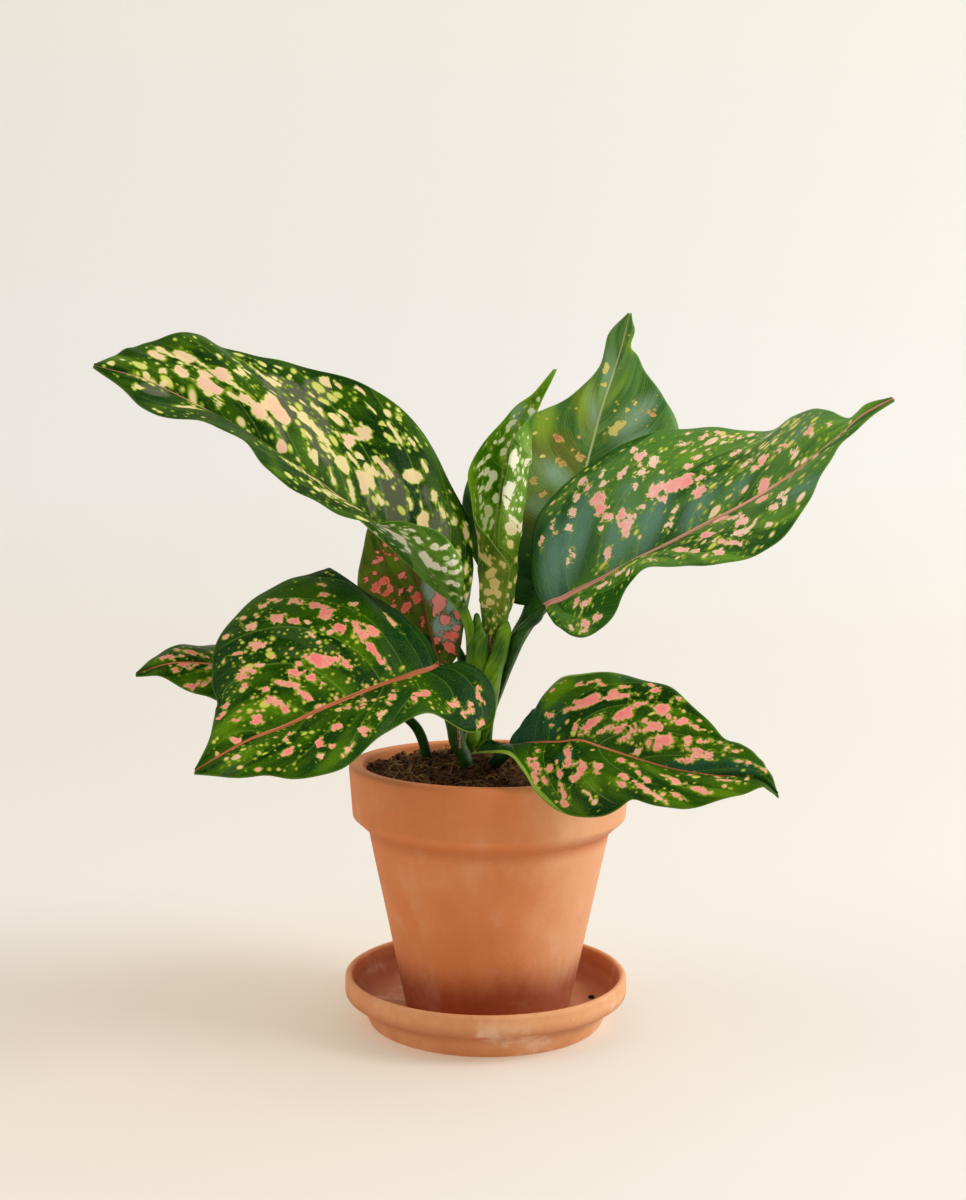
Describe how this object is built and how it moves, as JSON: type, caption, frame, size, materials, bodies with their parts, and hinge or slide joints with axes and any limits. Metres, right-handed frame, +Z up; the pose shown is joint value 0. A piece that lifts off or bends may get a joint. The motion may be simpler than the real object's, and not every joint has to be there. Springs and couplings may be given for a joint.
{
  "type": "potted chinese evergreen",
  "caption": "Spotted foliage plant with broad pointed leaves on a short clump of stems, in a round tapered terracotta pot with a thick collar, standing on a matching saucer.",
  "frame": {"origin": "centre of the saucer's foot, on the surface it stands on", "axes": "+Z up, the plant's front faces -Y, +X is to the right seen from the front"},
  "size_m": [0.3613, 0.1912, 0.3562],
  "materials": {
    "saucer_clay": "unglazed terracotta, pale with lime bloom",
    "pot_clay": "unglazed terracotta, darker where damp near the base",
    "soil": "moist fibrous potting mix",
    "stem": "smooth green, semi-gloss",
    "leaf_cream_spotted": "semi-gloss green with cream and pink spots",
    "leaf_plain": "semi-gloss light green with faint yellow smears",
    "leaf_pink_spotted": "semi-gloss deep green with pink and yellow-green spots, pink midrib",
    "leaf_dark_spotted": "semi-gloss dark green with red-pink spots"
  },
  "bodies": {
    "root": {"saucer": "saucer_clay", "pot": "pot_clay", "soil": "soil", "stem_clump": "stem", "cane_front": "stem", "petiole_far_left": "stem", "blade_upper_left": "leaf_cream_spotted", "blade_centre": "leaf_cream_spotted", "blade_upper_back": "leaf_plain", "blade_right": "leaf_pink_spotted", "blade_lower_left": "leaf_pink_spotted", "blade_far_left": "leaf_pink_spotted", "blade_middle_back": "leaf_dark_spotted", "blade_lower_right": "leaf_pink_spotted"}
  },
  "joints": []
}
